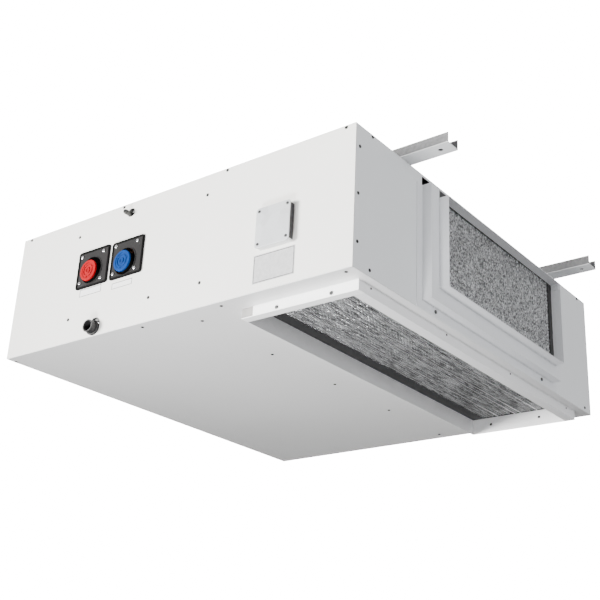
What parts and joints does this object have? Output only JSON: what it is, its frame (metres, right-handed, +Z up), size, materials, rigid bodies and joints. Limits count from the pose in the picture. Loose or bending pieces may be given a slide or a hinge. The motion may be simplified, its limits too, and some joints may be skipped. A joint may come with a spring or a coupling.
{
  "type": "ducted fan coil unit",
  "caption": "Concealed ducted fan coil unit: flat sheet-metal case on hanger channels, rear and bottom return collars with filters, coil, drain pan and centrifugal blowers.",
  "frame": {"origin": "centre of the four hanger holes, in the plane where the hanger channels lie on the casing top", "axes": "+Z up, +X towards the return end, -Y towards the side with the water connections"},
  "size_m": [0.978, 0.8695, 0.287],
  "materials": {
    "case_paint": "satin warm white powder coat",
    "galvanised": "spangled galvanised sheet",
    "impeller_metal": "galvanised",
    "bright_steel": "zinc plated",
    "dark_screw": "dark zinc",
    "filter_black": "matte",
    "filter_mesh": "woven nylon mesh",
    "anthracite": "fine texture",
    "cap_red": "semi gloss",
    "union_black": "moulded",
    "cap_blue": "semi gloss",
    "brass": "machined",
    "copper": "drawn copper tube",
    "fins": "fin stock",
    "pan": "moulded",
    "drain_black": "matte",
    "motor_paint": "dark enamel",
    "capacitor_grey": "matte",
    "rubber": "matte",
    "foam": "closed cell foam",
    "label": "blank film"
  },
  "bodies": {
    "casing": {"air_vent_body": "brass", "blank_labels": "label", "blind_rivets": "bright_steel", "bottom_panel": "case_paint", "bottom_rail_far": "galvanised", "bottom_rail_near": "galvanised", "bottom_rail_return_side": "galvanised", "bottom_rail_supply_side": "galvanised", "cable_grommets": "rubber", "capacitor": "capacitor_grey", "coil_end_plates": "galvanised", "coil_fins": "fins", "coil_tubes": "copper", "collar_screws": "bright_steel", "cover_screws": "dark_screw", "drain_pan": "pan", "drain_spout": "drain_black", "fan_deck": "galvanised", "hanger_channel_far": "galvanised", "hanger_channel_near": "galvanised", "header_blue": "copper", "header_red": "copper", "insulation": "foam", "junction_box_base": "galvanised", "junction_box_cover": "galvanised", "motor_bearings": "bright_steel", "motor_body": "motor_paint", "motor_cable": "drain_black", "motor_clamps": "galvanised", "motor_cradle": "galvanised", "pipe_plate_blue": "anthracite", "pipe_plate_red": "anthracite", "plate_screws": "bright_steel", "rear_jamb_far": "galvanised", "rear_jamb_near": "galvanised", "rear_sill": "galvanised", "rear_top_rail": "galvanised", "return_bends": "copper", "return_end_panel": "case_paint", "rubber_rings": "rubber", "scroll_far": "galvanised", "scroll_near": "galvanised", "side_panel_far": "case_paint", "side_panel_pipe": "case_paint", "supply_end_panel": "case_paint", "supply_spigot": "galvanised", "terminal_block": "drain_black", "top_panel": "case_paint", "water_union_blue": "union_black", "water_union_red": "union_black"},
    "fan_rotor": {"motor_shaft": "bright_steel", "impeller_near": "impeller_metal", "impeller_far": "impeller_metal"},
    "rear_filter": {"rear_filter_frame": "filter_black", "rear_filter_mesh": "filter_mesh"},
    "bottom_filter": {"bottom_filter_frame": "filter_black", "bottom_filter_mesh": "filter_mesh"},
    "red_cap_body": {"red_cap": "cap_red"},
    "blue_cap_body": {"blue_cap": "cap_blue"},
    "bleed_screw_body": {"bleed_screw": "brass"}
  },
  "joints": [
    {"name": "fan_spin", "type": "hinge", "parent": "casing", "child": "fan_rotor", "pos_m": [0.215, 0.0075, -0.118], "axis": [0, 1, 0], "continuous": true},
    {"name": "rear_filter_slide", "type": "slide", "parent": "casing", "child": "rear_filter", "axis": [0, 0, 1], "range_m": [0, 0.21]},
    {"name": "bottom_filter_lift", "type": "slide", "parent": "casing", "child": "bottom_filter", "axis": [0, 0, 1], "range_m": [0, 0.018]},
    {"name": "red_cap_pull", "type": "slide", "parent": "casing", "child": "red_cap_body", "axis": [0, -1, 0], "range_m": [0, 0.03]},
    {"name": "blue_cap_pull", "type": "slide", "parent": "casing", "child": "blue_cap_body", "axis": [0, -1, 0], "range_m": [0, 0.03]},
    {"name": "bleed_screw_turn", "type": "hinge", "parent": "casing", "child": "bleed_screw_body", "pos_m": [-0.099, -0.43, -0.024], "axis": [0, -1, 0], "range_deg": [0, 180]}
  ]
}
